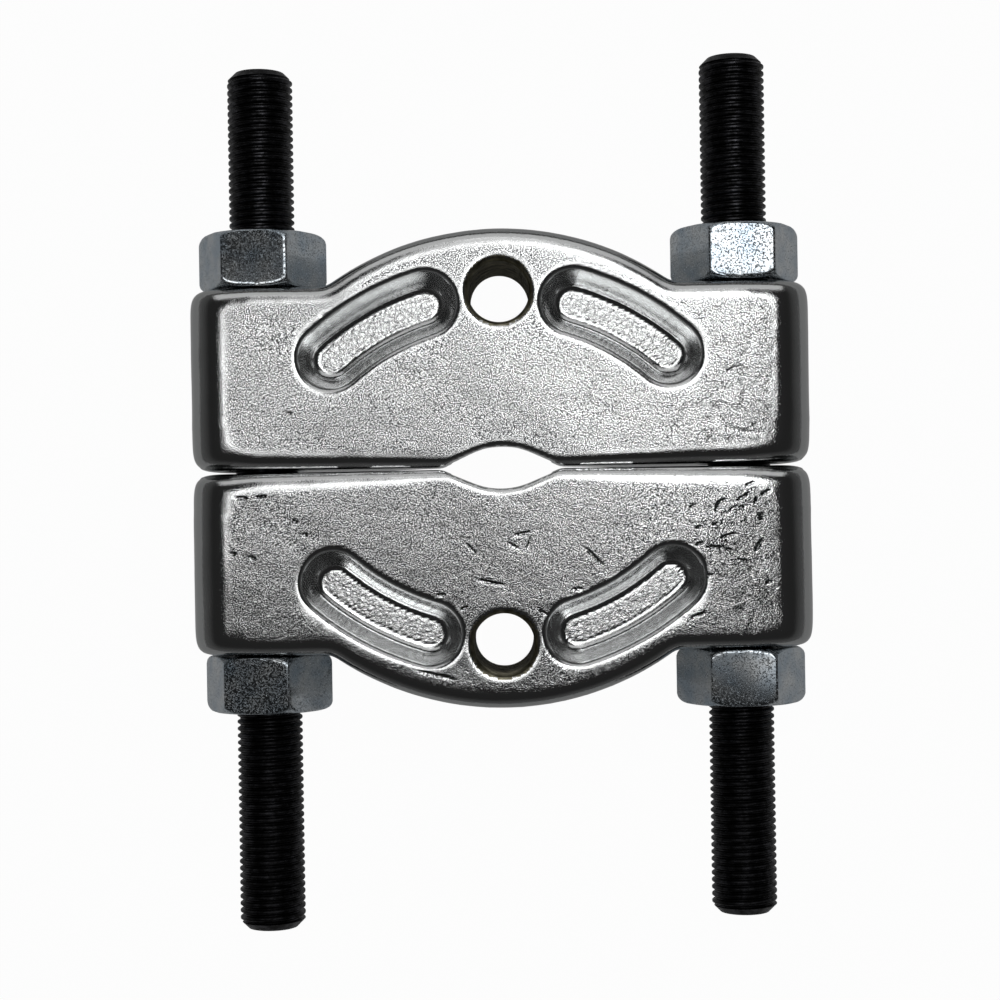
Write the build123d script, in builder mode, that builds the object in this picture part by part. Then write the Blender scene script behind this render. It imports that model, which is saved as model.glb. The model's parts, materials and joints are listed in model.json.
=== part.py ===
"""Bearing separator: two drop-forged jaws drawn together on two threaded studs by four nuts.

It lies flat on its bevelled side. X runs along the seam between the jaws, Y along the studs,
and Z up through the thickness. The origin is the middle of the shaft opening, on the surface
that the jaws rest on. Every size is in millimetres.
"""

import os
from math import acos, atan2, cos, hypot, radians, sin, sqrt, tan

from build123d import *

# Forged jaw, driving sizes
jaw_width = 132.6
jaw_thickness = 28.0
jaw_gap = 0.45  # between the two seam faces when the nuts are run in
ledge_height = 38.6  # seam face to the milled flats that the nuts bear on
dome_rise = 12.6  # how far the round back stands above those flats
dome_radius = 63.4
end_radius = 7.5  # rounding of the two ends, seen along the studs
forging_radius = 3.0  # rounding of the outer edges
seam_radius = 1.8  # rounding of the edges of the seam face
junction_radius = 3.5  # fillet between the round back and a flat
draft_angle = 5.0  # forging draft of the round back and the ends

# Notch of the shaft opening, cut in each seam face
notch_depth = 4.0
notch_radius = 15.0
notch_half_width = 12.5
notch_edge_radius = 0.9  # rounding of its edges on the upper face

# Wedge behind the notch, a cone that thins the jaw to a blade
blade_thickness = 2.6
wedge_inner_radius = 6.0
wedge_outer_radius = 28.0
wedge_rim_radius = 1.0

# Puller screw holes and forged pockets, on one arc
hole_height = 36.6  # seam face to the middle of the tapped hole
hole_minor_radius = 6.2  # wall of an M14 x 1.5 tapped hole
hole_mouth_radius = 7.0
hole_sink_angle = 90.0
arc_radius = 53.9  # the arc that the hole and both pockets lie on
pocket_width = 13.4
pocket_depth = 6.5
pocket_wall_angle = 23.0
pocket_start_angle = 16.75  # from the middle of the jaw to the first end centre
pocket_end_angle = 41.15
pocket_floor_radius = 1.6
pocket_rim_radius = 0.8

# Studs and nuts
stud_diameter = 14.0
stud_length = 183.5
stud_edge_distance = 15.5  # end of the jaw to the middle of the stud
stud_end_chamfer = 1.7
stud_bore_clearance = 0.4  # round the stud, in the jaw
stud_bore_chamfer = 0.6  # of the bore's mouths, measured across
stud_bore_sink_angle = 90.0
left_stud_reach = 35.0  # how far each stud stands out past its rear nut
right_stud_reach = 36.7
nut_across_flats = 24.0
nut_height = 12.0
nut_blank_margin = 0.25  # of the turned blank outside the hexagon's corners
nut_shoulder_radius = 2.4  # rounding of that blank's ends
nut_thread_clearance = 0.05  # round the stud, in the nut
nut_sink = 0.9  # countersink at each end of the nut's thread
nut_seat_clearance = 0.1  # between a nut and the flat that it bears on
nut_side_clearance = 0.05  # round a nut, where the round back stands next to it

# How many degrees each nut's upper flat leans towards +X
rear_left_nut_turn = -2.0
rear_right_nut_turn = 2.0
front_left_nut_turn = -6.0
front_right_nut_turn = -3.0

# Places that follow from those sizes
seam_y = jaw_gap / 2
ledge_y = seam_y + ledge_height
back_y = ledge_y + dome_rise
dome_centre_y = back_y - dome_radius
mid_z = jaw_thickness / 2
half_width = jaw_width / 2
stud_x = half_width - stud_edge_distance
stud_radius = stud_diameter / 2
bore_radius = stud_radius + stud_bore_clearance
hole_y = seam_y + hole_height
arc_centre_y = hole_y - arc_radius
nut_seat_y = ledge_y + nut_seat_clearance
nut_turned_radius = nut_across_flats / 2 / cos(radians(30)) + nut_blank_margin

match_tolerance = 0.01  # how near a place or radius must be to count as the same


def end_section():
    """Cross-section of the jaw seen along the studs: flat faces, drafted and rounded ends."""
    lean = mid_z * tan(radians(draft_angle))
    with BuildSketch(Plane.XZ) as section:
        with BuildLine():
            Polyline(
                (half_width - lean, 0),
                (half_width, mid_z),
                (half_width - lean, jaw_thickness),
                (-half_width + lean, jaw_thickness),
                (-half_width, mid_z),
                (-half_width + lean, 0),
                close=True,
            )
        make_face()
        upper_corners = section.vertices().group_by(Axis.Y)[-1]
        lower_corners = section.vertices().group_by(Axis.Y)[0]
        fillet(upper_corners + lower_corners, radius=end_radius)
    return section.sketch


def dome_outline():
    """Round back of the jaw at its parting line, reaching down into the straight part."""
    root_y = ledge_y - junction_radius
    root_x = sqrt(dome_radius**2 - (root_y - dome_centre_y) ** 2)
    with BuildSketch(Plane.XY.offset(mid_z)) as outline:
        with BuildLine():
            ThreePointArc((-root_x, root_y), (0, back_y), (root_x, root_y))
            Line((root_x, root_y), (-root_x, root_y))
        make_face()
    return outline.sketch


def notch_outline():
    """Notch in the seam face: a shallow arc, then a straight flank each side, tangent to it."""
    arc_y = seam_y + notch_depth - notch_radius
    reach_x = notch_half_width
    reach_y = seam_y - arc_y
    tangent_angle = acos(notch_radius / hypot(reach_x, reach_y))
    flank_angle = atan2(reach_x, reach_y) - tangent_angle
    arc_end_x = notch_radius * sin(flank_angle)
    arc_end_y = arc_y + notch_radius * cos(flank_angle)
    with BuildSketch(Plane.XY) as outline:
        with BuildLine():
            ThreePointArc((-arc_end_x, arc_end_y), (0, seam_y + notch_depth), (arc_end_x, arc_end_y))
            Line((arc_end_x, arc_end_y), (notch_half_width, seam_y))
            Line((notch_half_width, seam_y), (-notch_half_width, seam_y))
            Line((-notch_half_width, seam_y), (-arc_end_x, arc_end_y))
        make_face()
    return outline.sketch


def wedge_section():
    """Half section of what the wedge leaves free, with the space under the jaw for its rounded rim."""
    blade_z = jaw_thickness - blade_thickness
    clear_x = wedge_outer_radius + 2 * wedge_rim_radius
    with BuildSketch(Plane.XZ) as section:
        with BuildLine():
            Polyline(
                (0, -wedge_rim_radius),
                (clear_x, -wedge_rim_radius),
                (clear_x, 0),
                (wedge_outer_radius, 0),
                (wedge_inner_radius, blade_z),
                (0, blade_z),
                close=True,
            )
        make_face()
        rim = section.vertices().sort_by_distance((wedge_outer_radius, 0))[0]
        fillet(rim, radius=wedge_rim_radius)
    return section.sketch


def pocket_outline(side):
    """Mouth of one forged pocket, a slot along the arc; side is -1 for left and 1 for right."""
    first = 90 - side * pocket_start_angle
    with BuildSketch(Plane.XY.offset(jaw_thickness)) as outline:
        with BuildLine(mode=Mode.PRIVATE) as centre_line:
            CenterArc((0, arc_centre_y), arc_radius, first, -side * (pocket_end_angle - pocket_start_angle))
        SlotArc(centre_line.edges()[0], pocket_width)
    return outline.sketch


def turned_nut_section(plane, clearance):
    """Half section of the turned blank of a nut, its shoulders rounded, with a clearance all round.

    The plane's origin is the middle of the blank's near end, and its Y runs along the stud.
    """
    radius = nut_turned_radius + clearance
    with BuildSketch(plane) as section:
        with Locations((radius / 2, nut_height / 2)):
            Rectangle(radius, nut_height + 2 * clearance)
        outer_corners = section.vertices().group_by(Axis.X)[-1]
        fillet(outer_corners, radius=nut_shoulder_radius + clearance)
    return section.sketch


def on_outer_back(edge):
    """True for an edge round the back of the jaw, where a flat or the round back ends."""
    behind_flats = min(vertex.Y for vertex in edge.vertices()) > ledge_y - match_tolerance
    on_a_face = abs(edge.center().Z - mid_z) > mid_z - end_radius
    on_an_end = abs(edge.center().X) > half_width - end_radius
    return behind_flats and (on_a_face or on_an_end)


def on_seam_side(edge):
    """True for an edge round the seam face or along the notch."""
    near_seam = max(vertex.Y for vertex in edge.vertices()) < seam_y + notch_depth
    on_a_face = abs(edge.center().Z - mid_z) > mid_z - end_radius
    on_an_end = abs(edge.center().X) > half_width - end_radius
    return near_seam and (on_a_face or on_an_end)


def on_notch_edge(edge):
    """True for an edge of the notch on the upper face."""
    on_upper_face = min(vertex.Z for vertex in edge.vertices()) > jaw_thickness - match_tolerance
    along_notch = max(vertex.Y for vertex in edge.vertices()) < seam_y + notch_depth + match_tolerance
    return on_upper_face and along_notch and abs(edge.center().X) < notch_half_width


with BuildPart() as rear_jaw:
    # Straight part: the end section drawn out from the seam to the flats
    extrude(end_section(), amount=-ledge_y)
    split(bisect_by=Plane((0, seam_y, 0), z_dir=(0, 1, 0)), keep=Keep.TOP)

    # Round back, drafted both ways from the parting line
    extrude(dome_outline(), amount=mid_z, taper=draft_angle)
    mirror(about=Plane.XY.offset(mid_z))
    fillet(rear_jaw.edges().filter_by(GeomType.HYPERBOLA), radius=junction_radius)
    fillet(rear_jaw.edges().filter_by(on_outer_back), radius=forging_radius)

    # Seam face, rounded all round, and the notch of the shaft opening with a tighter edge
    fillet(rear_jaw.edges().filter_by(on_seam_side), radius=seam_radius)
    extrude(notch_outline(), amount=jaw_thickness, mode=Mode.SUBTRACT)
    fillet(rear_jaw.edges().filter_by(on_notch_edge), radius=notch_edge_radius)

    # Wedge: a cone from the blade at the notch down to the rest face, with a rounded rim
    revolve(wedge_section(), axis=Axis.Z, mode=Mode.SUBTRACT)

    # Forged pockets, their walls leaning outwards, with rounded floors and rims
    for side in (-1, 1):
        extrude(pocket_outline(side), amount=-pocket_depth, taper=pocket_wall_angle, mode=Mode.SUBTRACT)
    pocket_floors = rear_jaw.faces().filter_by(Plane.XY).filter_by(
        lambda face: abs(face.center().Z - jaw_thickness + pocket_depth) < match_tolerance
    )
    fillet(pocket_floors.edges(), radius=pocket_floor_radius)
    upper_face = rear_jaw.faces().filter_by(Plane.XY).sort_by(Axis.Z)[-1]
    fillet(upper_face.inner_wires().edges(), radius=pocket_rim_radius)

    # Tapped hole for a puller screw, countersunk at both faces
    with Locations(Location((0, hole_y, jaw_thickness)), Location((0, hole_y, 0), (180, 0, 0))):
        CounterSinkHole(hole_minor_radius, hole_mouth_radius, counter_sink_angle=hole_sink_angle)

    # Room for the nuts, wherever the round back would stand in their way
    for side in (-1, 1):
        nut_plane = Plane((side * stud_x, nut_seat_y, mid_z))
        nut_axis = Axis(nut_plane.origin, (0, 1, 0))
        revolve(turned_nut_section(nut_plane, nut_side_clearance), axis=nut_axis, mode=Mode.SUBTRACT)

    # Bores that slide on the studs, countersunk at the flat and at the seam face
    for side in (-1, 1):
        flat_mouth = Plane((side * stud_x, ledge_y, mid_z), z_dir=(0, 1, 0))
        seam_mouth = Plane((side * stud_x, seam_y, mid_z), z_dir=(0, -1, 0))
        with Locations(flat_mouth, seam_mouth):
            CounterSinkHole(
                bore_radius, bore_radius + stud_bore_chamfer, counter_sink_angle=stud_bore_sink_angle
            )

with BuildPart() as front_jaw:
    add(rear_jaw.part, rotation=(0, 0, 180))


def threaded_stud(x, rear_end_y):
    """Stud along Y, chamfered at both ends; its rear end is at rear_end_y."""
    with BuildPart() as stud:
        with BuildSketch(Plane((x, rear_end_y - stud_length, mid_z), x_dir=(1, 0, 0), z_dir=(0, 1, 0))):
            Circle(stud_radius)
        extrude(amount=stud_length)
        chamfer(stud.edges().filter_by(GeomType.CIRCLE), length=stud_end_chamfer)
    return stud


def hexagon_nut(x, near_y, turn):
    """Nut on a stud, its ends chamfered, reaching from near_y one nut's height along +Y."""
    thread_radius = stud_radius + nut_thread_clearance
    end_plane = Plane((x, near_y, mid_z), x_dir=(1, 0, 0), z_dir=(0, 1, 0))
    level_plane = Plane((x, near_y, mid_z))
    with BuildPart() as nut:
        with BuildSketch(end_plane):
            RegularPolygon(nut_across_flats / 2, side_count=6, major_radius=False, rotation=turn)
        extrude(amount=nut_height)
        # Rounded shoulders at both ends, which leave every flat a rounded rectangle
        stud_axis = Axis(level_plane.origin, (0, 1, 0))
        revolve(turned_nut_section(level_plane, 0), axis=stud_axis, mode=Mode.INTERSECT)
        # Bore on the thread's crests, countersunk at both ends
        with Locations(end_plane):
            Hole(thread_radius)
        bore_ends = nut.edges().filter_by(GeomType.CIRCLE).filter_by(
            lambda edge: abs(edge.radius - thread_radius) < match_tolerance
        )
        chamfer(bore_ends, length=nut_sink)
    return nut


left_stud = threaded_stud(-stud_x, nut_seat_y + nut_height + left_stud_reach)
right_stud = threaded_stud(stud_x, nut_seat_y + nut_height + right_stud_reach)
rear_left_nut = hexagon_nut(-stud_x, nut_seat_y, rear_left_nut_turn)
rear_right_nut = hexagon_nut(stud_x, nut_seat_y, rear_right_nut_turn)
front_left_nut = hexagon_nut(-stud_x, -nut_seat_y - nut_height, front_left_nut_turn)
front_right_nut = hexagon_nut(stud_x, -nut_seat_y - nut_height, front_right_nut_turn)

pieces = {
    "rear_jaw": rear_jaw,
    "front_jaw": front_jaw,
    "left_stud": left_stud,
    "right_stud": right_stud,
    "rear_left_nut": rear_left_nut,
    "rear_right_nut": rear_right_nut,
    "front_left_nut": front_left_nut,
    "front_right_nut": front_right_nut,
}
os.makedirs("parts", exist_ok=True)
for piece_name, piece in pieces.items():
    piece.part.label = piece_name
    export_step(piece.part, f"parts/{piece_name}.step")
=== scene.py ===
"""Looks of a bearing separator: forged jaws, threaded studs, hexagon nuts and a plain studio.

Every length in a property is in millimetres. The meshes are in metres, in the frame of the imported
model.
"""

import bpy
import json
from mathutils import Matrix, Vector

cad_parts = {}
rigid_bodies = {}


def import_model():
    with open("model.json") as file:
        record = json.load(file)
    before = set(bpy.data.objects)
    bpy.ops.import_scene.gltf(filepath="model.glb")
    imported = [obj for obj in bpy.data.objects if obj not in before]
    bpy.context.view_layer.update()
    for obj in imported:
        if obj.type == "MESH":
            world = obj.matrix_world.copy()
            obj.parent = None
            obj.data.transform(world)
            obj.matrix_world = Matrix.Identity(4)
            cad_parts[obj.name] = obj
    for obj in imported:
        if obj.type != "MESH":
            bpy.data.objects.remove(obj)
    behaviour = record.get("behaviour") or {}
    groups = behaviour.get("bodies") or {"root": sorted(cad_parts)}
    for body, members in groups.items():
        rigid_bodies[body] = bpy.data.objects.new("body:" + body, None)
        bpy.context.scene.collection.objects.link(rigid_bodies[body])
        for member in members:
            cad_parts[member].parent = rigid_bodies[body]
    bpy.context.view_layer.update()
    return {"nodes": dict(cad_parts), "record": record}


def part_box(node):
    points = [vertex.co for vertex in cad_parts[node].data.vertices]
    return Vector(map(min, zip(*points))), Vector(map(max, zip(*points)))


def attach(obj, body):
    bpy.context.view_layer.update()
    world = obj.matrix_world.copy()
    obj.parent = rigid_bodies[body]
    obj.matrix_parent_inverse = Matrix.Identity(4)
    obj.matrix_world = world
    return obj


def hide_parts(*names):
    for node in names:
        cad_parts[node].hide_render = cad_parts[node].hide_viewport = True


bl_info = {
    "name": "Bearing Separator",
    "version": (1, 0, 0),
    "blender": (4, 5, 0),
    "location": "View3D > Sidebar > Separator",
    "description": "Forged jaws, threaded studs and hexagon nuts, in a plain studio",
    "category": "Object",
}

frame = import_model()

import json
from math import cos, pi, radians, sin

import bpy
import numpy as np
from bpy.props import FloatProperty, FloatVectorProperty, IntProperty, PointerProperty
from mathutils import Vector

MM = 0.001
MERGE_DISTANCE = 0.002 * MM

# Places of the real pieces in metres, read from the frame
JAW_LOW, JAW_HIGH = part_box("rear_jaw")
MID_Z = (JAW_LOW.z + JAW_HIGH.z) / 2
TOP_Z = JAW_HIGH.z
STUD_X = (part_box("right_stud")[0].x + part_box("right_stud")[1].x) / 2
HOLES = {
    mount["name"]: Vector(mount["pos_m"])
    for mount in frame["record"]["mounts"]
    if mount["kind"] == "threaded_hole"
}

# How far each nut is turned from a level upper face, in degrees
NUT_TURNS = {
    "rear_left_nut": -2.0,
    "rear_right_nut": 2.0,
    "front_left_nut": -6.0,
    "front_right_nut": -3.0,
}

# Flats round a drilled or countersunk hole, and round a turned blank
HOLE_STEPS = 96
BLANK_STEPS = 128

# Limits in mm of a jaw's outer edges and outer walls, from the middle of the opening:
# x at an end, x and y at a nut's seat, radius of the round back
EDGE_LIMITS = (55, 36, 32, 57.5)
WALL_LIMITS = (60, 40, 36, 58)
# How far the centre of the back lies on the other side of the seam
BACK_SETBACK = 12
# Edges this near to a bore's middle keep their shape
BORE_REACH = 9
# Where the rounding of an end grows, and its shares
END_SHARES = ((53, 0.4), (56, 0.8), (59, 1.0))
# The seam's edges are worn up to this y; their wear grows in steps from one x to the other
SEAM_REACH = 9
SEAM_STEP = 4
SEAM_START = 12
SEAM_FULL = 60

# Lean of the surface in degrees: where wear and the painted highlight start and are full, where the
# painted shade of an upright wall starts and is full, and up to where the skin counts as level
WEAR_AND_SHEEN_LEAN = (0.6, 3.6)
WALL_SHADE_LEAN = (25, 45)
LEVEL_LEAN = 3
# A wall is upright up to this z of its normal; the seam's face starts at this y of its normal and
# lies within this distance in mm of the middle plane
UPRIGHT_Z = 0.35
SEAM_Y = 0.8
SEAM_BAND = 1
# Sizes in mm of the broad waves and of the patches of scale in the skin
WAVE_SIZE = 14.0
SCALE_PATCH_SIZE = 1.9
# Level of the cloud pattern that leaves the skin where it is, so that it sinks more than it swells
CLOUD_LEVEL = 0.8
# Marks reach this far past their listed size, and this far down from the upper face
MARK_MARGIN = 0.4
MARK_REACH = 3

# Tapped hole in mm: thread, face of the countersink, its reach each way, and the bare steel round it
TAP_RADIUS = 7.0
MOUTH_RADIUS = 7.15
MOUTH_REACH = 2
BARE_RADIUS = 7.3

# Skin pattern: where each change starts and is complete, in mm
POCKET_Z = (23.5, 22.2)
FRONT_Y = (4, -8)
RIGHT_X = (32, 44)
# Shares of scale and creases on the rear and the front jaw, and share of creases away from the right
SCALE_SHARES = (0.08, 0.2)
LEFT_CREASES = 0.15
# Creases in mm and degrees: size of their pattern, its slant and stretch, and gaps along them
CREASE_SIZE = 3.2
CREASE_SLANT = -28
CREASE_STRETCH = (0.6, 1, 1)
CREASE_REACH = 0.07
GAP_SIZE = 1.7
GAP_LEVELS = (0.48, 0.54)
# Grain: pattern levels of its hollows, painted dark as shade, and of its bright crests, and its depth
# share on worn edges
GRAIN_LEVELS = (0.475, 0.555)
WORN_GRAIN = 0.9
# Roughness of the blasted skin, which changes in patches of this size, and of the worn edges
PATCH_SIZE = 9
PATCH_LEVELS = (0.3, 0.7)
BLASTED_ROUGHNESS = (0.11, 0.15)
WORN_ROUGHNESS = 0.09
# Height in mm of the fine relief of steel, oxide and zinc
FINE_RELIEF = 0.05

# White paper: its colour, and how much of it glows in the metal and to the camera
PAPER_COLOUR = 0xE8E8E8
GLOW_IN_METAL = 0.14
GLOW_TO_CAMERA = 0.975
# Radiance of the dark room by the height of the direction, which is 1 straight up
ROOM_GREYS = ((0.0, 0.1), (0.35, 0.05), (0.7, 0.014))


class ForgingSettings(bpy.types.PropertyGroup):
    """Skin of the drop-forged jaws."""

    voxel: FloatProperty(name="Mesh size", description="Side of one cell of the jaw's mesh", default=0.61)
    smoothing: IntProperty(name="Smoothing", description="Passes that soften the forged edges", default=2)
    edge_smoothing: IntProperty(
        name="Edge smoothing", description="Passes that wear the outer edges", default=15
    )
    end_smoothing: IntProperty(
        name="End smoothing", description="Passes that round the two ends", default=60
    )
    seam_smoothing: IntProperty(
        name="Seam smoothing", description="Passes that wear the seam's edges", default=74
    )
    skin_depth: FloatProperty(
        name="Skin depth", description="How far the skin lies inside the flash line", default=0.1
    )
    flash_width: FloatProperty(
        name="Flash line", description="Width of the trimmed flash round the parting line", default=1.6
    )
    unevenness: FloatProperty(name="Unevenness", description="Depth of the broad waves", default=0.22)
    scale_depth: FloatProperty(
        name="Scale", description="Depth of the patches of forging scale", default=0.06
    )
    grain_size: FloatProperty(
        name="Grain", description="Size of one grain of the blasted skin", default=0.23
    )
    grain_depth: FloatProperty(name="Grain depth", description="Height of one grain", default=0.025)
    scale_size: FloatProperty(
        name="Scale size", description="Size of one fleck of forging scale", default=0.9
    )
    scale_bump: FloatProperty(
        name="Scale relief", description="Height of one fleck of forging scale", default=0.22
    )
    crease_width: FloatProperty(
        name="Crease", description="Width of one crease in the skin", default=0.3
    )
    crease_depth: FloatProperty(name="Crease depth", description="Depth of one crease", default=0.5)
    mark_cuts: IntProperty(
        name="Mark cuts", description="Cuts across each cell of the mesh at a mark", default=2
    )
    mark_width: FloatProperty(
        name="Mark width", description="Share of each mark's listed width", default=0.5
    )
    mark_depth: FloatProperty(
        name="Mark depth", description="Share of each mark's listed depth", default=0.5
    )
    # Also painted over the leaning edges and the pockets as a painted highlight
    bright: FloatVectorProperty(
        name="Bright",
        description="Plating on the crests of the grain",
        subtype="COLOR",
        default=(0.95, 0.96, 0.96),
    )
    # Painted shade: a darker grey painted on the upright outer walls
    side: FloatVectorProperty(
        name="Sides",
        description="Plating on the upright outer walls",
        subtype="COLOR",
        default=(0.47, 0.48, 0.48),
    )
    # Painted shade: the dark colour painted into the hollows of the grain
    hollow_shade: FloatVectorProperty(
        name="Dull",
        description="Plating in the hollows of the grain",
        subtype="COLOR",
        default=(0.05, 0.052, 0.055),
    )


class ThreadSettings(bpy.types.PropertyGroup):
    """Metric fine thread of the studs and the tapped holes."""

    pitch: FloatProperty(name="Pitch", description="Distance from crest to crest", default=1.5)
    depth: FloatProperty(
        name="Depth", description="Height of the thread from root to crest", default=0.6
    )
    steps: IntProperty(name="Steps", description="Flats in one turn of the thread", default=56)
    clearance: FloatProperty(
        name="Clearance", description="Crest below the nominal size", default=0.03
    )
    end_chamfer: FloatProperty(
        name="End chamfer", description="Chamfer on each end of a stud", default=1.7
    )


class NutSettings(bpy.types.PropertyGroup):
    """Hexagon nuts."""

    across_flats: FloatProperty(name="Across flats", description="Width over two flats", default=24.0)
    blank_margin: FloatProperty(
        name="Blank margin", description="Turned blank outside the hexagon's corners", default=0.05
    )
    shoulder_radius: FloatProperty(
        name="Shoulder", description="Rounding of the blank's ends", default=2.4
    )
    shoulder_steps: IntProperty(
        name="Shoulder steps", description="Flats in that rounding", default=8
    )
    bore: FloatProperty(
        name="Bore", description="Diameter of the plain bore round the stud", default=14.1
    )
    sink: FloatProperty(name="Countersink", description="Depth of the countersink", default=0.9)
    voxel: FloatProperty(
        name="Mesh size", description="Side of one cell of the nut's mesh", default=0.25
    )
    smoothing: IntProperty(name="Smoothing", description="Passes that round the edges", default=4)


class StudioSettings(bpy.types.PropertyGroup):
    """Floor, lamps and camera."""

    camera_x: FloatProperty(
        name="Camera X", description="Camera to the right of the opening", default=2.66
    )
    camera_y: FloatProperty(
        name="Camera Y", description="Camera behind the opening", default=-11.4
    )
    camera_z: FloatProperty(name="Camera height", description="Camera above the floor", default=428.0)
    camera_roll: FloatProperty(name="Roll", description="Turn of the camera in degrees", default=0.95)
    focal_length: FloatProperty(
        name="Lens", description="Focal length on a 36 mm sensor", default=69.156
    )
    shift_x: FloatProperty(
        name="Shift X", description="Shift of the lens to the right", default=-0.015
    )
    shift_y: FloatProperty(name="Shift Y", description="Shift of the lens upwards", default=0.022)
    floor_size: FloatProperty(name="Floor", description="Side of the floor", default=12000.0)


def linear_colour(hex_value):
    """Linear RGBA of an sRGB hex value such as 0xC0C4C8."""
    channels = [(hex_value >> shift & 255) / 255 for shift in (16, 8, 0)]
    return [c / 12.92 if c <= 0.04045 else ((c + 0.055) / 1.055) ** 2.4 for c in channels] + [1.0]


def add_node(tree, kind, inputs=None, **settings):
    """Adds a shader node, sets its properties, and sets or links its inputs."""
    node = tree.nodes.new(kind)
    for name, value in settings.items():
        setattr(node, name, value)
    for name, value in (inputs or {}).items():
        if isinstance(value, bpy.types.NodeSocket):
            tree.links.new(value, node.inputs[name])
        else:
            node.inputs[name].default_value = value
    return node


def new_material(name):
    """A material with only an output node, and its node tree."""
    material = bpy.data.materials.new(name)
    material.use_nodes = True
    tree = material.node_tree
    tree.nodes.clear()
    return material, tree, add_node(tree, "ShaderNodeOutputMaterial")


def ramp(tree, factor, stops):
    """Colour ramp with stops of (position, colour)."""
    node = add_node(tree, "ShaderNodeValToRGB", {"Fac": factor})
    elements = node.color_ramp.elements
    while len(elements) < len(stops):
        elements.new(1.0)
    for element, (position, colour) in zip(elements, stops):
        element.position = position
        element.color = colour
    return node.outputs["Color"]


def noise(tree, place, size, **inputs):
    """Noise pattern whose features have about this size in mm."""
    inputs = {"Vector": place, "Scale": 1 / (size * MM), **inputs}
    return add_node(tree, "ShaderNodeTexNoise", inputs).outputs["Fac"]


def calculate(tree, operation, *values):
    """Result of one operation on values or sockets."""
    node = add_node(tree, "ShaderNodeMath", dict(enumerate(values)), operation=operation)
    return node.outputs["Value"]


def to_range(tree, value, low, high, new_low=0.0, new_high=1.0, **settings):
    """The value moved from one range to another, and held inside it."""
    inputs = {
        "Value": value, "From Min": low, "From Max": high, "To Min": new_low, "To Max": new_high
    }
    return add_node(tree, "ShaderNodeMapRange", inputs, **settings).outputs["Result"]


def blend(tree, factor, first, second):
    """Mix of two colours."""
    inputs = {"Factor": factor, "A": first, "B": second}
    return add_node(tree, "ShaderNodeMix", inputs, data_type="RGBA").outputs["Result"]


def relief(tree, height, distance, strength=1.0, over=None, invert=False):
    """Normal of a relief, with this distance in metres from low to high, over another normal if given."""
    inputs = {"Height": height, "Strength": strength, "Distance": distance}
    if over is not None:
        inputs["Normal"] = over
    return add_node(tree, "ShaderNodeBump", inputs, invert=invert).outputs["Normal"]


def link_metal(tree, output, colour, roughness, normal):
    """Gives the material a metal surface."""
    inputs = {"Base Color": colour, "Metallic": 1.0, "Roughness": roughness, "Normal": normal}
    shader = add_node(tree, "ShaderNodeBsdfPrincipled", inputs)
    tree.links.new(shader.outputs["BSDF"], output.inputs["Surface"])


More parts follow.
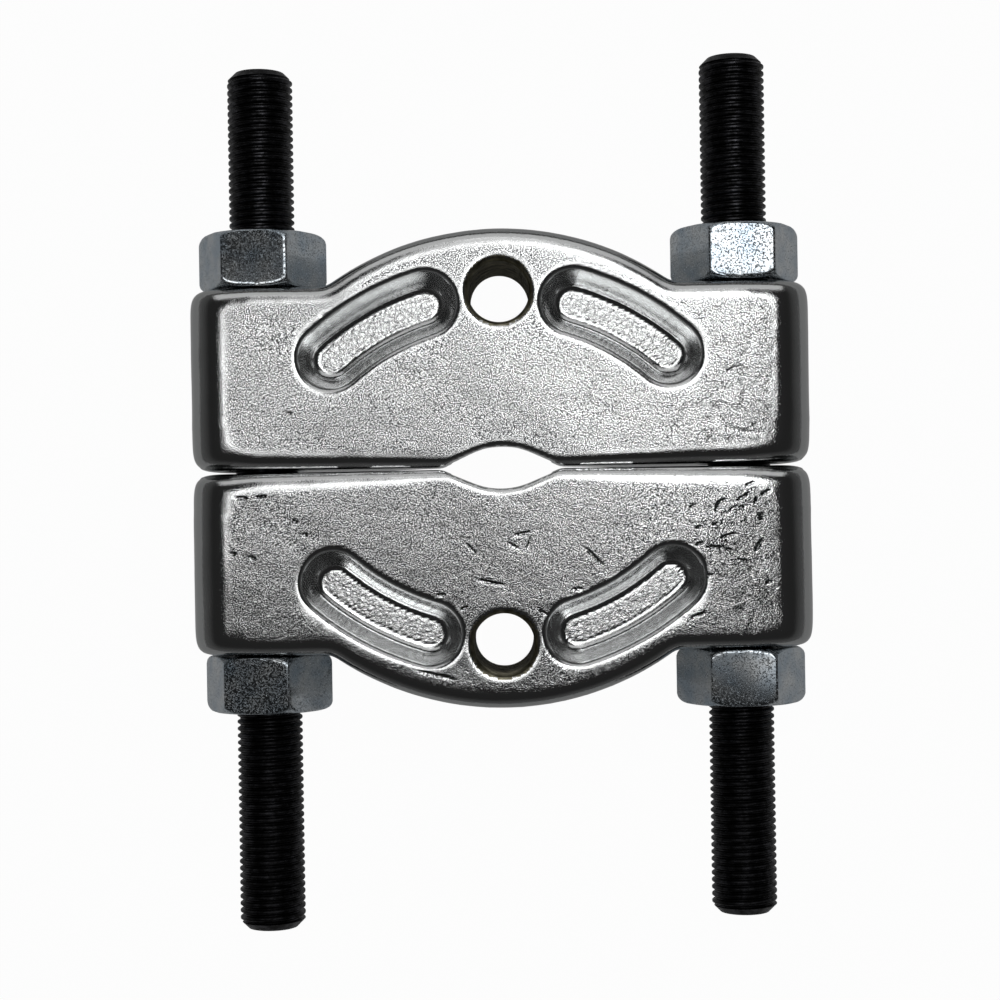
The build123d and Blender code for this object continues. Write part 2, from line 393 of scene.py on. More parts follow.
def plated_forging(settings):
    """Drop-forged steel, shot-blasted and plated bright.

    The blasted skin breaks the lamps' reflection into fine grains, and painted shade darkens the
    hollows of the grain. Worn, leaning edges and the pockets are painted bright throughout, a painted
    highlight, and the pocket floors are coarser because scale was pressed in. The upright outer walls
    are painted a darker grey as shade.
    """
    material, tree, output = new_material("plated_drop_forging")
    place = add_node(tree, "ShaderNodeTexCoord").outputs["Object"]
    axes = add_node(tree, "ShaderNodeSeparateXYZ", {"Vector": place}).outputs
    # Masks of the leaning skin, which is smoother and painted bright as a highlight, and of the upright
    # outer walls, which are painted darker as shade
    worn = add_node(tree, "ShaderNodeAttribute", attribute_name="worn").outputs["Fac"]
    on_shaded_wall = add_node(tree, "ShaderNodeAttribute", attribute_name="side").outputs["Fac"]
    unworn = to_range(tree, worn, 0.0, 1.0, 1.0, 0.0)
    in_pocket = to_range(tree, axes["Z"], POCKET_Z[0] * MM, POCKET_Z[1] * MM)
    on_front = to_range(tree, axes["Y"], FRONT_Y[0] * MM, FRONT_Y[1] * MM, *SCALE_SHARES)
    on_right = to_range(tree, axes["X"], RIGHT_X[0] * MM, RIGHT_X[1] * MM, LEFT_CREASES)

    # Creases follow a level line of a slanted pattern, with gaps
    turned = {
        "Vector": place, "Rotation": (0, 0, radians(CREASE_SLANT)), "Scale": CREASE_STRETCH
    }
    slanted = add_node(tree, "ShaderNodeMapping", turned).outputs["Vector"]
    folds = noise(tree, slanted, CREASE_SIZE, Detail=2.0, Distortion=0.6)
    off_fold = calculate(tree, "ABSOLUTE", calculate(tree, "SUBTRACT", folds, 0.5))
    reach = CREASE_REACH * settings.crease_width
    fold_line = to_range(tree, off_fold, 0.0, reach, 1.0, 0.0, interpolation_type="SMOOTHSTEP")
    kept = to_range(tree, noise(tree, place, GAP_SIZE, Detail=1.0), *GAP_LEVELS)
    crease = calculate(tree, "MULTIPLY", fold_line, kept)
    creased = calculate(tree, "MULTIPLY", on_front, on_right)
    creased = calculate(tree, "MULTIPLY", creased, unworn)
    crease_height = calculate(tree, "MULTIPLY", crease, creased)

    scale = noise(tree, place, settings.scale_size, Detail=3.0, Roughness=0.6, Distortion=0.5)
    scaled = calculate(tree, "MAXIMUM", in_pocket, on_front)
    scaled = calculate(tree, "MULTIPLY", scaled, unworn)
    scale_height = calculate(tree, "MULTIPLY", scale, scaled)

    grain = noise(tree, place, settings.grain_size, Detail=1.0, Roughness=0.5)
    depth = settings.grain_depth * MM
    grain_depth = to_range(tree, worn, 0.0, 1.0, depth, WORN_GRAIN * depth)
    normal = relief(tree, grain, grain_depth)
    normal = relief(tree, scale_height, settings.scale_bump * MM, over=normal)
    normal = relief(tree, crease_height, settings.crease_depth * MM, over=normal, invert=True)

    bright, hollow_shade, side = ((*c, 1.0) for c in (settings.bright, settings.hollow_shade, settings.side))
    # Painted shade darkens the hollows of the grain, where the bump is low
    shaded_grain = ramp(tree, grain, tuple(zip(GRAIN_LEVELS, (hollow_shade, bright))))
    # Painted highlight: leaning edges and pockets take the bright colour throughout
    painted_bright = calculate(tree, "MAXIMUM", worn, in_pocket)
    # Painted shade: the upright outer walls take the darker wall colour
    colour = blend(tree, on_shaded_wall, blend(tree, painted_bright, shaded_grain, bright), side)
    patches = noise(tree, place, PATCH_SIZE, Detail=2.0)
    blasted = to_range(tree, patches, *PATCH_LEVELS, *BLASTED_ROUGHNESS)
    roughness = to_range(tree, worn, 0.0, 1.0, blasted, WORN_ROUGHNESS)
    link_metal(tree, output, colour, roughness, normal)
    return material


def cut_steel():
    """Tapped and countersunk bare steel, which has gone slightly straw-coloured from cutting oil."""
    material, tree, output = new_material("cut_steel")
    place = add_node(tree, "ShaderNodeTexCoord").outputs["Object"]
    stain = noise(tree, place, size=2.5, Detail=3.0)
    colour = ramp(tree, stain, [(0.35, linear_colour(0x6E6A58)), (0.65, linear_colour(0xB5B09A))])
    scratches = noise(tree, place, size=0.3, Detail=2.0)
    normal = relief(tree, scratches, FINE_RELIEF * MM, strength=0.5)
    link_metal(tree, output, colour, roughness=0.32, normal=normal)
    return material


def black_oxide():
    """Rolled thread with black oxide and a film of oil: near black, with thin glints on the crests."""
    material, tree, output = new_material("black_oxide_steel")
    place = add_node(tree, "ShaderNodeTexCoord").outputs["Object"]
    wear = noise(tree, place, size=1.8, Detail=4.0, Roughness=0.65)
    colour = ramp(tree, wear, [(0.42, linear_colour(0x222223)), (0.7, linear_colour(0x4C4C50))])
    roughness = to_range(tree, wear, low=0.35, high=0.7, new_low=0.42, new_high=0.26)
    grit = noise(tree, place, size=0.35, Detail=2.0)
    normal = relief(tree, grit, FINE_RELIEF * MM, strength=0.6)
    link_metal(tree, output, colour, roughness, normal)
    return material


def zinc_plating():
    """Bright zinc on cold-forged steel: bluish, with fine specks where the plating is thin."""
    material, tree, output = new_material("bright_zinc_plating")
    place = add_node(tree, "ShaderNodeTexCoord").outputs["Object"]
    tint = noise(tree, place, size=5, Detail=2.0)
    colour = ramp(tree, tint, [(0.3, linear_colour(0xB4C2CE)), (0.7, linear_colour(0xDDE1E3))])
    specks = noise(tree, place, size=0.4, Detail=3.0, Roughness=0.7)
    pits = to_range(tree, specks, low=0.54, high=0.62)
    roughness = to_range(tree, pits, 0.0, 1.0, new_low=0.07, new_high=0.42)
    normal = relief(tree, pits, FINE_RELIEF * MM, invert=True)
    link_metal(tree, output, colour, roughness, normal)
    return material


def select_only(*pieces):
    """Selects these objects and nothing else; the first is active."""
    for other in bpy.context.view_layer.objects:
        other.select_set(False)
    for piece in pieces:
        piece.select_set(True)
    bpy.context.view_layer.objects.active = pieces[0]


def active_as(name):
    """The active object, given that name."""
    piece = bpy.context.object
    piece.name = name
    piece.data.name = name
    return piece


def select_parts(piece, parts, wanted):
    """Opens edit mode with only the wanted vertices or polygons selected."""
    select_only(piece)
    bpy.ops.object.mode_set(mode="EDIT")
    bpy.ops.mesh.select_mode(type="VERT" if parts == "vertices" else "FACE")
    bpy.ops.mesh.select_all(action="DESELECT")
    bpy.ops.object.mode_set(mode="OBJECT")
    for part in getattr(piece.data, parts):
        part.select = wanted(part)
    bpy.ops.object.mode_set(mode="EDIT")


def apply_modifier(piece, kind, **settings):
    """Adds a modifier with these settings and applies it."""
    select_only(piece)
    modifier = piece.modifiers.new(kind.lower(), kind)
    for name, value in settings.items():
        setattr(modifier, name, value)
    bpy.ops.object.modifier_apply(modifier=modifier.name)


def even_mesh(piece, settings):
    """Gives the piece a mesh of even cells, and softens its edges."""
    voxel_size = settings.voxel * MM
    apply_modifier(piece, "REMESH", mode="VOXEL", voxel_size=voxel_size, use_smooth_shade=True)
    apply_modifier(piece, "SMOOTH", factor=0.5, iterations=settings.smoothing)


def apply_place(piece):
    """Moves the object's place, turn and size into its mesh."""
    select_only(piece)
    bpy.ops.object.transform_apply(location=True, rotation=True, scale=True)


def combine(piece, other, operation):
    """Cuts, adds or intersects another solid, and removes that solid."""
    apply_modifier(piece, "BOOLEAN", operation=operation, object=other, solver="MANIFOLD")
    bpy.data.objects.remove(other)


def points_of(piece, field="co"):
    """The mesh's points, or their normals, as an array of rows."""
    rows = np.empty(len(piece.data.vertices) * 3)
    piece.data.vertices.foreach_get(field, rows)
    return rows.reshape(-1, 3)


def set_points(piece, points):
    """Writes the points back to the mesh."""
    piece.data.vertices.foreach_set("co", points.ravel())
    piece.data.update()


def vertex_group(piece, name, weights):
    """Adds a vertex group with one weight for each point, and gives its name."""
    group = piece.vertex_groups.new(name=name)
    for weight in np.unique(weights[weights > 0]):
        group.add(np.flatnonzero(weights == weight).tolist(), float(weight), "REPLACE")
    return group.name


def cylinder(name, centre, radius, length, steps, turn=None):
    """Closed cylinder along Y, turned by some degrees where that is given."""
    bpy.ops.mesh.primitive_cylinder_add(
        vertices=steps, radius=radius, depth=length, location=centre, rotation=(radians(90), 0, 0)
    )
    piece = active_as(name)
    if turn is not None:
        bpy.ops.transform.rotate(value=radians(turn), orient_axis="Y", center_override=centre)
    apply_place(piece)
    return piece


def countersink(centre, radius, reach, rotation):
    """Cone with this radius at its middle, which narrows and widens by its reach on either side."""
    bpy.ops.mesh.primitive_cone_add(
        vertices=HOLE_STEPS,
        radius1=radius - reach,
        radius2=radius + reach,
        depth=2 * reach,
        location=centre,
        rotation=rotation,
    )
    sink = active_as("sink")
    apply_place(sink)
    return sink


def thread_body(name, centre, length, major_radius, settings, extra_turns=2):
    """Closed cylinder along Y with a right-hand thread, longer by some turns at both ends."""
    pitch = settings.pitch * MM
    crest = major_radius
    root = major_radius - settings.depth * MM
    turns = int(length / pitch) + 2 * extra_turns
    shoulder = crest - 0.1 * settings.depth * MM
    # An open chain along one pitch of the profile: root, flank, rounded crest, flank
    profile = [
        (0.0, root),
        (0.14, root),
        (0.4, shoulder),
        (0.47, crest),
        (0.67, crest),
        (0.74, shoulder),
        (1.0, root),
    ]
    start = (centre.x, centre.y - turns * pitch / 2, centre.z)
    bpy.ops.mesh.primitive_circle_add(
        vertices=len(profile) + 1, radius=major_radius, fill_type="NOTHING", location=start
    )
    body = active_as(name)
    select_parts(body, "vertices", lambda vertex: vertex.index == len(profile))
    bpy.ops.mesh.delete(type="VERT")
    bpy.ops.object.mode_set(mode="OBJECT")
    for vertex, (share, radius) in zip(body.data.vertices, profile):
        vertex.co = (0.0, share * pitch, radius)
    apply_modifier(
        body,
        "SCREW",
        axis="Y",
        angle=2 * pi,
        screw_offset=pitch,
        iterations=turns,
        steps=settings.steps,
        render_steps=settings.steps,
        use_smooth_shade=False,
    )
    bpy.ops.object.mode_set(mode="EDIT")
    bpy.ops.mesh.select_all(action="SELECT")
    bpy.ops.mesh.select_mode(type="EDGE")
    bpy.ops.mesh.remove_doubles(threshold=MERGE_DISTANCE)
    bpy.ops.mesh.select_all(action="DESELECT")
    bpy.ops.mesh.select_non_manifold()
    bpy.ops.mesh.fill_holes(sides=0)
    bpy.ops.mesh.select_all(action="SELECT")
    bpy.ops.mesh.normals_make_consistent(inside=False)
    bpy.ops.object.mode_set(mode="OBJECT")
    apply_place(body)
    return body


def turned_blank(name, centre, length, radius, face_radius, fall):
    """Cylinder along Y with a cone at both ends, from radius down to face_radius over fall."""
    blank = cylinder(name, centre, radius, length - 2 * fall, BLANK_STEPS)
    share = face_radius / radius
    for end in (-1, 1):
        end_y = centre.y + end * (length / 2 - fall)
        select_parts(
            blank, "polygons", lambda polygon: abs(polygon.center.y - end_y) < MERGE_DISTANCE
        )
        bpy.ops.mesh.extrude_region_move(TRANSFORM_OT_translate={"value": (0, end * fall, 0)})
        bpy.ops.transform.resize(
            value=(share, 1, share), center_override=(centre.x, end_y + end * fall, centre.z)
        )
        bpy.ops.object.mode_set(mode="OBJECT")
    return blank


def beyond(x, y, limits):
    """Which points lie past these limits of an end, of a nut's seat or of the round back."""
    end_x, seat_x, seat_y, back_radius = limits
    at_seat = (x > seat_x) & (y > seat_y)
    on_back = np.hypot(x, y + BACK_SETBACK) > back_radius
    return (x > end_x) | at_seat | on_back


def soften_edges(piece, settings):
    """Rounds the ends, then all outer edges, then the seam's edges, most towards its two ends."""
    x, y, z = np.abs(points_of(piece).T) / MM
    off_bore = np.hypot(x - STUD_X / MM, z - MID_Z / MM) > BORE_REACH
    ends = np.zeros(len(x))
    for start, share in END_SHARES:
        ends[(x >= start) & off_bore] = share
    outer = beyond(x, y, EDGE_LIMITS) & off_bore
    stepped_x = x // SEAM_STEP * SEAM_STEP
    seam = (y < SEAM_REACH) * np.clip((stepped_x - SEAM_START) / (SEAM_FULL - SEAM_START), 0, 1)
    for name, weights, passes in (
        ("ends", ends, settings.end_smoothing),
        ("outer_edges", outer, settings.edge_smoothing),
        ("seam_edges", seam, settings.seam_smoothing),
    ):
        group = vertex_group(piece, name, weights)
        apply_modifier(piece, "SMOOTH", factor=0.5, iterations=passes, vertex_group=group)


def mark_sheen_and_wall_shade(piece):
    """Stores, from 0 to 1, where the skin is worn and painted bright as a highlight, and where it is an
    upright outer wall painted darker as shade.
    """
    upward = np.clip(np.abs(points_of(piece, "normal")[:, 2]), 0, 1)
    lean = np.degrees(np.arccos(upward))
    x, y, _ = np.abs(points_of(piece).T) / MM
    # Leaning skin, which is worn smoother and painted bright as a highlight
    worn = np.interp(lean, WEAR_AND_SHEEN_LEAN, (0, 1))
    # Upright outer walls, which are painted darker as shade
    side = np.interp(lean, WALL_SHADE_LEAN, (0, 1)) * beyond(x, y, WALL_LIMITS)
    for name, shares in (("worn", worn), ("side", side)):
        attribute = piece.data.attributes.new(name, "FLOAT", "POINT")
        attribute.data.foreach_set("value", shares)


def forged_skin(piece, settings):
    """Vertex groups of the skin, all but the flash line and the seam's face, and of its level part."""
    points = points_of(piece)
    normals = np.abs(points_of(piece, "normal"))
    near_parting = np.abs(points[:, 2] - MID_Z) < settings.flash_width / 2 * MM
    flash = (normals[:, 2] < UPRIGHT_Z) & near_parting
    seam_face = (np.abs(points[:, 1]) < SEAM_BAND * MM) & (normals[:, 1] > SEAM_Y)
    skin = vertex_group(piece, "skin", ~flash & ~seam_face)
    level_skin = vertex_group(piece, "level_skin", normals[:, 2] > cos(radians(LEVEL_LEAN)))
    return skin, level_skin


def along_and_across(points, mark):
    """Places of points along and across a mark, in metres."""
    x, y, turn = mark[0], mark[1], radians(mark[-1])
    dx, dy = points[:, 0] - x * MM, points[:, 1] - y * MM
    return cos(turn) * dx + sin(turn) * dy, cos(turn) * dy - sin(turn) * dx


def press_marks(piece, marks, settings):
    """Presses marks into the upper face, on a mesh that is made finer round each of them."""
    centres = np.array([polygon.center for polygon in piece.data.polygons])
    near = np.zeros(len(centres), dtype=bool)
    for mark in marks:
        along, across = np.abs(along_and_across(centres, mark))
        half_length, half_width = ((2 * side + MARK_MARGIN) * MM for side in mark[2:4])
        near |= (along < half_length) & (across < half_width)
    near &= centres[:, 2] > TOP_Z - MARK_REACH * MM
    select_parts(piece, "polygons", lambda polygon: bool(near[polygon.index]))
    bpy.ops.mesh.subdivide(number_cuts=settings.mark_cuts)
    bpy.ops.object.mode_set(mode="OBJECT")
    points = points_of(piece)
    upper = points[:, 2] > TOP_Z - MARK_REACH * MM
    for mark in marks:
        along, across = along_and_across(points, mark)
        half_length, half_width = mark[2] * MM, settings.mark_width * mark[3] * MM
        bowl = np.exp(-((along / half_length) ** 4) - (across / half_width) ** 2)
        points[upper, 2] -= (settings.mark_depth * mark[4] * MM * bowl)[upper]
    set_points(piece, points)


# Where scale was pressed into the upper faces: x, y, half length, half width and depth in mm,
# and turn in degrees
FRONT_MARKS = [
    (50.3, -6.9, 1.4, 0.45, 0.4, 35),
    (51.9, -4.2, 1.0, 0.45, 0.3, 20),
    (55.1, -6.1, 1.0, 0.45, 0.35, 24),
    (44.8, -9.0, 0.9, 0.45, 0.3, 85),
    (45.7, -7.8, 1.0, 0.45, 0.3, 25),
    (39.8, -8.7, 0.7, 0.45, 0.35, 28),
    (50.2, -9.0, 0.9, 0.4, 0.25, 5),
    (48.2, -9.3, 0.9, 0.4, 0.3, 34),
    (54.0, -11.1, 0.8, 0.45, 0.4, 80),
    (52.9, -7.7, 0.7, 0.4, 0.3, 75),
    (47.1, -15.0, 1.5, 0.5, 0.45, 14),
    (53.4, -17.1, 1.2, 0.55, 0.45, 60),
    (41.0, -16.6, 0.7, 0.45, 0.4, 15),
    (44.3, -17.3, 1.4, 0.4, 0.35, -3),
    (47.1, -17.9, 0.6, 0.45, 0.35, -10),
    (42.9, -23.2, 0.7, 0.45, 0.35, 0),
    (55.4, -24.8, 0.6, 0.45, 0.35, 15),
    (40.9, -13.1, 0.6, 0.45, 0.35, 10),
    (44.3, -12.5, 0.5, 0.45, 0.3, 10),
    (49.0, -29.5, 1.2, 1.1, -0.08, 0),
    (40.5, -31.5, 1.5, 0.5, 0.35, 20),
    (-54.2, -5.5, 1.0, 0.5, 0.5, 0),
    (-50.2, -5.3, 1.0, 0.45, 0.4, 5),
    (-56.2, -17.1, 0.5, 0.45, 0.4, 0),
    (-52.3, -18.0, 0.7, 0.45, 0.4, -20),
    (-43.2, -10.6, 0.5, 0.5, 0.35, 0),
    (-41.1, -13.4, 0.5, 0.45, 0.35, 0),
    (-2.5, -24.0, 2.4, 0.5, 0.3, -12),
    (-6.5, -17.0, 1.5, 0.5, 0.25, -50),
    (4.0, -13.9, 1.6, 0.45, 0.25, 10),
    (5.6, -15.8, 1.2, 0.45, 0.25, 80),
    (2.2, -16.4, 1.4, 0.45, 0.2, -30),
    (19.0, -18.9, 2.6, 0.5, 0.25, -45),
    (15.5, -25.6, 0.9, 0.45, 0.3, 0),
    (8.2, -30.4, 1.2, 0.45, 0.3, -35),
    (-12.9, -26.4, 0.8, 0.45, 0.3, 0),
    (-8.2, -29.2, 0.7, 0.45, 0.3, 20),
    (-14.6, -43.0, 3.6, 0.6, 0.3, -14),
]
REAR_MARKS = [
    (50.9, 6.8, 3.6, 0.7, 0.12, -9),
    (48.5, 19.9, 1.2, 0.5, 0.15, 30),
    (-44.0, 12.0, 0.5, 0.5, 0.2, 0),
]


def forged_jaw(node, name, marks, settings):
    """Jaw with a forged skin: a merged copy of the solid, with an even mesh, pressed and pitted."""
    piece = bpy.data.objects.new(name, frame["nodes"][node].data.copy())
    piece.data.name = name
    bpy.context.scene.collection.objects.link(piece)
    select_only(piece)
    bpy.ops.object.mode_set(mode="EDIT")
    bpy.ops.mesh.select_all(action="SELECT")
    bpy.ops.mesh.remove_doubles(threshold=MERGE_DISTANCE)
    bpy.ops.object.mode_set(mode="OBJECT")
    even_mesh(piece, settings)
    soften_edges(piece, settings)
    mark_sheen_and_wall_shade(piece)
    skin, level_skin = forged_skin(piece, settings)
    sunk = -settings.skin_depth * MM
    apply_modifier(piece, "DISPLACE", strength=sunk, mid_level=0.0, vertex_group=skin)
    for size, depth, group in (
        (WAVE_SIZE, settings.unevenness, skin),
        (SCALE_PATCH_SIZE, settings.scale_depth, level_skin),
    ):
        cloud = bpy.data.textures.new(f"{name}_{size:.0f}", "CLOUDS")
        cloud.noise_scale = size * MM
        cloud.noise_depth = 2
        apply_modifier(
            piece,
            "DISPLACE",
            texture=cloud,
            texture_coords="LOCAL",
            strength=depth * MM,
            mid_level=CLOUD_LEVEL,
            vertex_group=group,
        )
    press_marks(piece, marks, settings)
    low, high = (np.array(corner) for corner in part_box(node))
    set_points(piece, np.clip(points_of(piece), low, high))
    return piece


def tap_hole(piece, hole, settings):
    """Cuts the tapped hole through a jaw, with a countersink at both faces."""
    radius = (TAP_RADIUS - settings.clearance) * MM
    tap = thread_body("tap", Vector((0, 0, 0)), TOP_Z - JAW_LOW.z, radius, settings)
    select_only(tap)
    bpy.ops.transform.rotate(value=radians(90), orient_axis="X", center_override=(0, 0, 0))
    bpy.ops.transform.translate(value=hole)
    apply_place(tap)
    for face_z, turn in ((TOP_Z, 0), (JAW_LOW.z, pi)):
        mouth = (hole.x, hole.y, face_z)
        sink = countersink(mouth, MOUTH_RADIUS * MM, MOUTH_REACH * MM, (turn, 0, 0))
        combine(tap, sink, "UNION")
    combine(piece, tap, "DIFFERENCE")


def finish_piece(piece, node, material, angle=None):
    """Shades the piece, gives it its material and lets it stand for its node."""
    select_only(piece)
    if angle is None:
        bpy.ops.object.shade_smooth()
    else:
        bpy.ops.object.shade_smooth_by_angle(angle=radians(angle))
    piece.data.materials.clear()
    piece.data.materials.append(material)
    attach(piece, node)
    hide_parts(node)


class SEPARATOR_OT_forged_jaws(bpy.types.Operator):
    """Make both forged jaws with their skin, marks and tapped holes"""

    bl_idname = "separator.forged_jaws"
    bl_label = "Forged jaws"

    def execute(self, context):
        forging = context.scene.separator_forging
        thread = context.scene.separator_thread
        skin, steel = plated_forging(forging), cut_steel()
        for node, marks in (("rear_jaw", REAR_MARKS), ("front_jaw", FRONT_MARKS)):
            piece = forged_jaw(node, f"{node}_forging", marks, forging)
            hole = HOLES[node.replace("_jaw", "_puller_hole")]
            tap_hole(piece, hole, thread)
            finish_piece(piece, node, skin, angle=35)
            piece.data.materials.append(steel)
            for polygon in piece.data.polygons:
                away = (polygon.center.x - hole.x) ** 2 + (polygon.center.y - hole.y) ** 2
                polygon.material_index = int(away < (BARE_RADIUS * MM) ** 2)
        return {"FINISHED"}


class SEPARATOR_OT_threaded_studs(bpy.types.Operator):
    """Make both studs with their full thread"""

    bl_idname = "separator.threaded_studs"
    bl_label = "Threaded studs"

    def execute(self, context):
        settings = context.scene.separator_thread
        oxide = black_oxide()
        for node in ("left_stud", "right_stud"):
            low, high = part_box(node)
            centre, length = (low + high) / 2, high.y - low.y
            crest = (high.x - low.x) / 2 - settings.clearance * MM
            chamfer = settings.end_chamfer * MM
            piece = thread_body(f"{node}_thread", centre, length, crest, settings)
            # The cone starts a quarter of the chamfer outside the crests, so that it cuts them cleanly
            outside = chamfer / 4
            fall = chamfer * 5 / 4
            blank = turned_blank("blank", centre, length, crest + outside, crest - chamfer, fall)
            combine(piece, blank, "INTERSECT")
            finish_piece(piece, node, oxide, angle=25)
        return {"FINISHED"}


class SEPARATOR_OT_hexagon_nuts(bpy.types.Operator):
    """Make the four hexagon nuts"""

    bl_idname = "separator.hexagon_nuts"
    bl_label = "Hexagon nuts"

    def execute(self, context):
        settings = context.scene.separator_nut
        zinc = zinc_plating()
        corner = settings.across_flats / 2 / cos(radians(30)) * MM
        bore = settings.bore / 2 * MM
        sink = settings.sink * MM
        for node, turn in NUT_TURNS.items():
            low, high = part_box(node)
            centre, height = (low + high) / 2, high.y - low.y
            # Without its turn of 30 degrees the hexagon would stand on a corner
            piece = cylinder(f"{node}_zinc", centre, corner, height, 6, turn=30 - turn)
            blank_radius = corner + settings.blank_margin * MM
            blank = cylinder("blank", centre, blank_radius, height, BLANK_STEPS)
            select_parts(blank, "polygons", lambda polygon: len(polygon.vertices) == BLANK_STEPS)
            bpy.ops.mesh.bevel(
                offset=settings.shoulder_radius * MM, segments=settings.shoulder_steps
            )
            bpy.ops.object.mode_set(mode="OBJECT")
            combine(piece, blank, "INTERSECT")
            combine(piece, cylinder("drill", centre, bore, 2 * height, HOLE_STEPS), "DIFFERENCE")
            for end in (-1, 1):
                mouth = (centre.x, centre.y + end * height / 2, centre.z)
                cone = countersink(mouth, bore + sink, sink, (radians(-90 * end), 0, 0))
                combine(piece, cone, "DIFFERENCE")
            even_mesh(piece, settings)
            finish_piece(piece, node, zinc)
        return {"FINISHED"}


def floor_material():
    """Plain white paper: diffuse, near full white to the camera, and only a faint glow in the metal."""
    material, tree, output = new_material("white_paper")
    rays = add_node(tree, "ShaderNodeLightPath").outputs
    paper = add_node(tree, "ShaderNodeBsdfDiffuse", {"Color": linear_colour(PAPER_COLOUR)})
    glow = add_node(tree, "ShaderNodeEmission", {"Color": (1, 1, 1, 1), "Strength": 1.0})
    reflected = calculate(tree, "MAXIMUM", rays["Is Glossy Ray"], rays["Is Transmission Ray"])
    weaker = calculate(tree, "MULTIPLY", reflected, GLOW_IN_METAL)
    seen = calculate(tree, "MULTIPLY", rays["Is Camera Ray"], GLOW_TO_CAMERA)
    share = calculate(tree, "MAXIMUM", seen, weaker)
    shaders = {0: share, 1: paper.outputs["BSDF"], 2: glow.outputs["Emission"]}
    mixed = add_node(tree, "ShaderNodeMixShader", shaders)
    tree.links.new(mixed.outputs["Shader"], output.inputs["Surface"])
    return material


# Rows of lit panels overhead: left, right, near and far edge in mm, and radiance
SOFTBOX_HEIGHT = 900
SOFTBOX_ROWS = (
    (-192, 172, -118, -105, 0.15),
    (-192, 172, -105, -50, 0.25),
    (-192, 170, -50, 10, 0.45),
    (-192, 178, 10, 60, 0.93),
    (-192, 178, 60, 130, 1.05),
    (-175, 178, 130, 150, 1.35),
    (-165, 180, 150, 260, 1.6),
    (-165, 180, 260, 700, 0.6),
    (70, 170, -120, 20, 0.6),
    (110, 176, -60, 40, 1.0),
    (-192, -80, -110, 10, 0.12),
    (60, 174, 20, 150, 0.65),
    (60, 180, 150, 400, 1.7),
    (120, 178, 10, 150, 1.25),
    (-194, -110, 20, 180, 0.3),
    (-194, -140, -45, 20, 0.25),
    (180, 262, 146, 260, 2.4),
    (-320, -194, -40, 50, 0.9),
    (-320, -194, 50, 132, 1.8),
)
# The panel behind the object, leaning over it: place, point it faces and size in mm, and radiance
REAR_PANEL = ((0, 1100, 850), (0, 0, 0), (1500, 850), 0.4)


def softbox(name, place, aim, size, radiance):
    """Rectangular lamp at a place, facing a point; lengths in mm, radiance as the metal reflects it."""
    lamp = bpy.data.lights.new(name, "AREA")
    lamp.shape = "RECTANGLE"
    lamp.size, lamp.size_y = (side * MM for side in size)
    lamp.energy = radiance * pi * lamp.size * lamp.size_y
    holder = bpy.data.objects.new(name, lamp)
    bpy.context.scene.collection.objects.link(holder)
    holder.location = Vector(place) * MM
    holder.rotation_euler = (Vector(aim) * MM - holder.location).to_track_quat("-Z", "Y").to_euler()


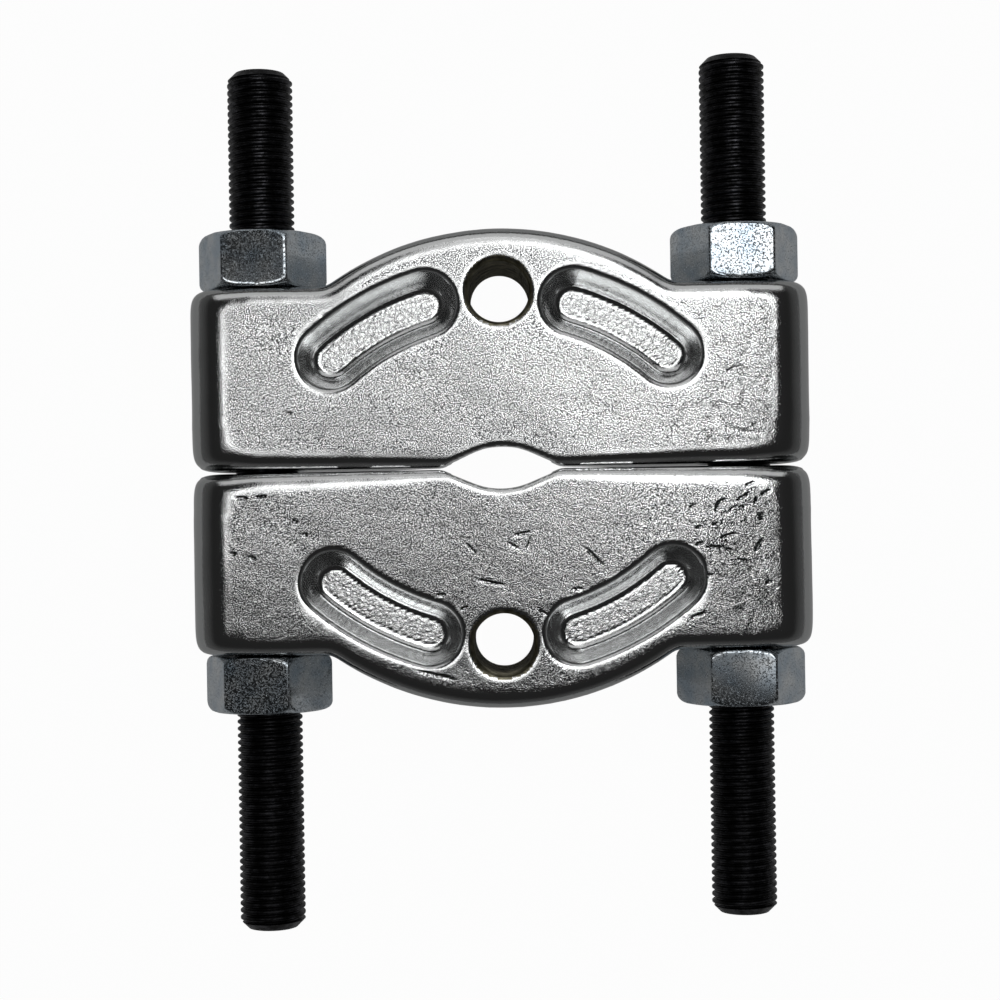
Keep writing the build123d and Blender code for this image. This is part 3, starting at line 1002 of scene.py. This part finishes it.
class SEPARATOR_OT_studio(bpy.types.Operator):
    """Make the floor, the lamps and the camera"""

    bl_idname = "separator.studio"
    bl_label = "Studio"

    def execute(self, context):
        settings = context.scene.separator_studio
        bpy.ops.mesh.primitive_plane_add(size=settings.floor_size * MM, location=(0, 0, 0))
        floor = active_as("floor")
        floor.data.materials.append(floor_material())

        world = bpy.data.worlds.new("studio_room")
        context.scene.world = world
        world.use_nodes = True
        tree = world.node_tree
        tree.nodes.clear()
        direction = add_node(tree, "ShaderNodeTexCoord").outputs["Generated"]
        height = add_node(tree, "ShaderNodeSeparateXYZ", {"Vector": direction}).outputs["Z"]
        walls = ramp(tree, height, [(share, (grey, grey, grey, 1)) for share, grey in ROOM_GREYS])
        room = add_node(tree, "ShaderNodeBackground", {"Color": walls, "Strength": 1.0})
        white = add_node(tree, "ShaderNodeBackground", {"Color": (1, 1, 1, 1), "Strength": 1.0})
        seen = add_node(tree, "ShaderNodeLightPath").outputs["Is Camera Ray"]
        shaders = {0: seen, 1: room.outputs["Background"], 2: white.outputs["Background"]}
        mixed = add_node(tree, "ShaderNodeMixShader", shaders)
        output = add_node(tree, "ShaderNodeOutputWorld")
        tree.links.new(mixed.outputs["Shader"], output.inputs["Surface"])

        for number, (left, right, near, far, radiance) in enumerate(SOFTBOX_ROWS):
            # Each row hangs 1 mm under the one before, so that no two lie in one plane
            place = ((left + right) / 2, (near + far) / 2, SOFTBOX_HEIGHT - number)
            below = (place[0], place[1], 0)
            size = (right - left, far - near)
            softbox(f"softbox_row_{number}", place, below, size, radiance)
        softbox("rear_panel", *REAR_PANEL)

        camera = bpy.data.cameras.new("copy_stand_camera")
        camera.lens = settings.focal_length
        camera.sensor_width = 36
        camera.shift_x = settings.shift_x
        camera.shift_y = settings.shift_y
        holder = bpy.data.objects.new("copy_stand_camera", camera)
        context.scene.collection.objects.link(holder)
        holder.location = Vector((settings.camera_x, settings.camera_y, settings.camera_z)) * MM
        holder.rotation_euler = (0, 0, -radians(settings.camera_roll))
        context.scene.camera = holder
        context.scene.view_settings.view_transform = "Standard"
        return {"FINISHED"}


class SEPARATOR_PT_panel(bpy.types.Panel):
    """Lists the steps and the settings in the sidebar of the 3D view"""

    bl_label = "Bearing separator"
    bl_space_type = "VIEW_3D"
    bl_region_type = "UI"
    bl_category = "Separator"

    def draw(self, context):
        for operator in OPERATORS:
            self.layout.operator(operator.bl_idname)
        for name in SETTINGS:
            group = getattr(context.scene, name)
            box = self.layout.box()
            for setting in group.bl_rna.properties:
                if not setting.is_readonly and setting.identifier != "name":
                    box.prop(group, setting.identifier)


OPERATORS = (
    SEPARATOR_OT_forged_jaws,
    SEPARATOR_OT_threaded_studs,
    SEPARATOR_OT_hexagon_nuts,
    SEPARATOR_OT_studio,
)
SETTINGS = {
    "separator_forging": ForgingSettings,
    "separator_thread": ThreadSettings,
    "separator_nut": NutSettings,
    "separator_studio": StudioSettings,
}


def register():
    for group in SETTINGS.values():
        bpy.utils.register_class(group)
    for name, group in SETTINGS.items():
        setattr(bpy.types.Scene, name, PointerProperty(type=group))
    for operator in OPERATORS:
        bpy.utils.register_class(operator)
    bpy.utils.register_class(SEPARATOR_PT_panel)


def unregister():
    bpy.utils.unregister_class(SEPARATOR_PT_panel)
    for operator in reversed(OPERATORS):
        bpy.utils.unregister_class(operator)
    for name in SETTINGS:
        delattr(bpy.types.Scene, name)
    for group in SETTINGS.values():
        bpy.utils.unregister_class(group)


def main():
    register()
    bpy.ops.separator.forged_jaws()
    bpy.ops.separator.threaded_studs()
    bpy.ops.separator.hexagon_nuts()
    bpy.ops.separator.studio()


if __name__ == "__main__":
    main()
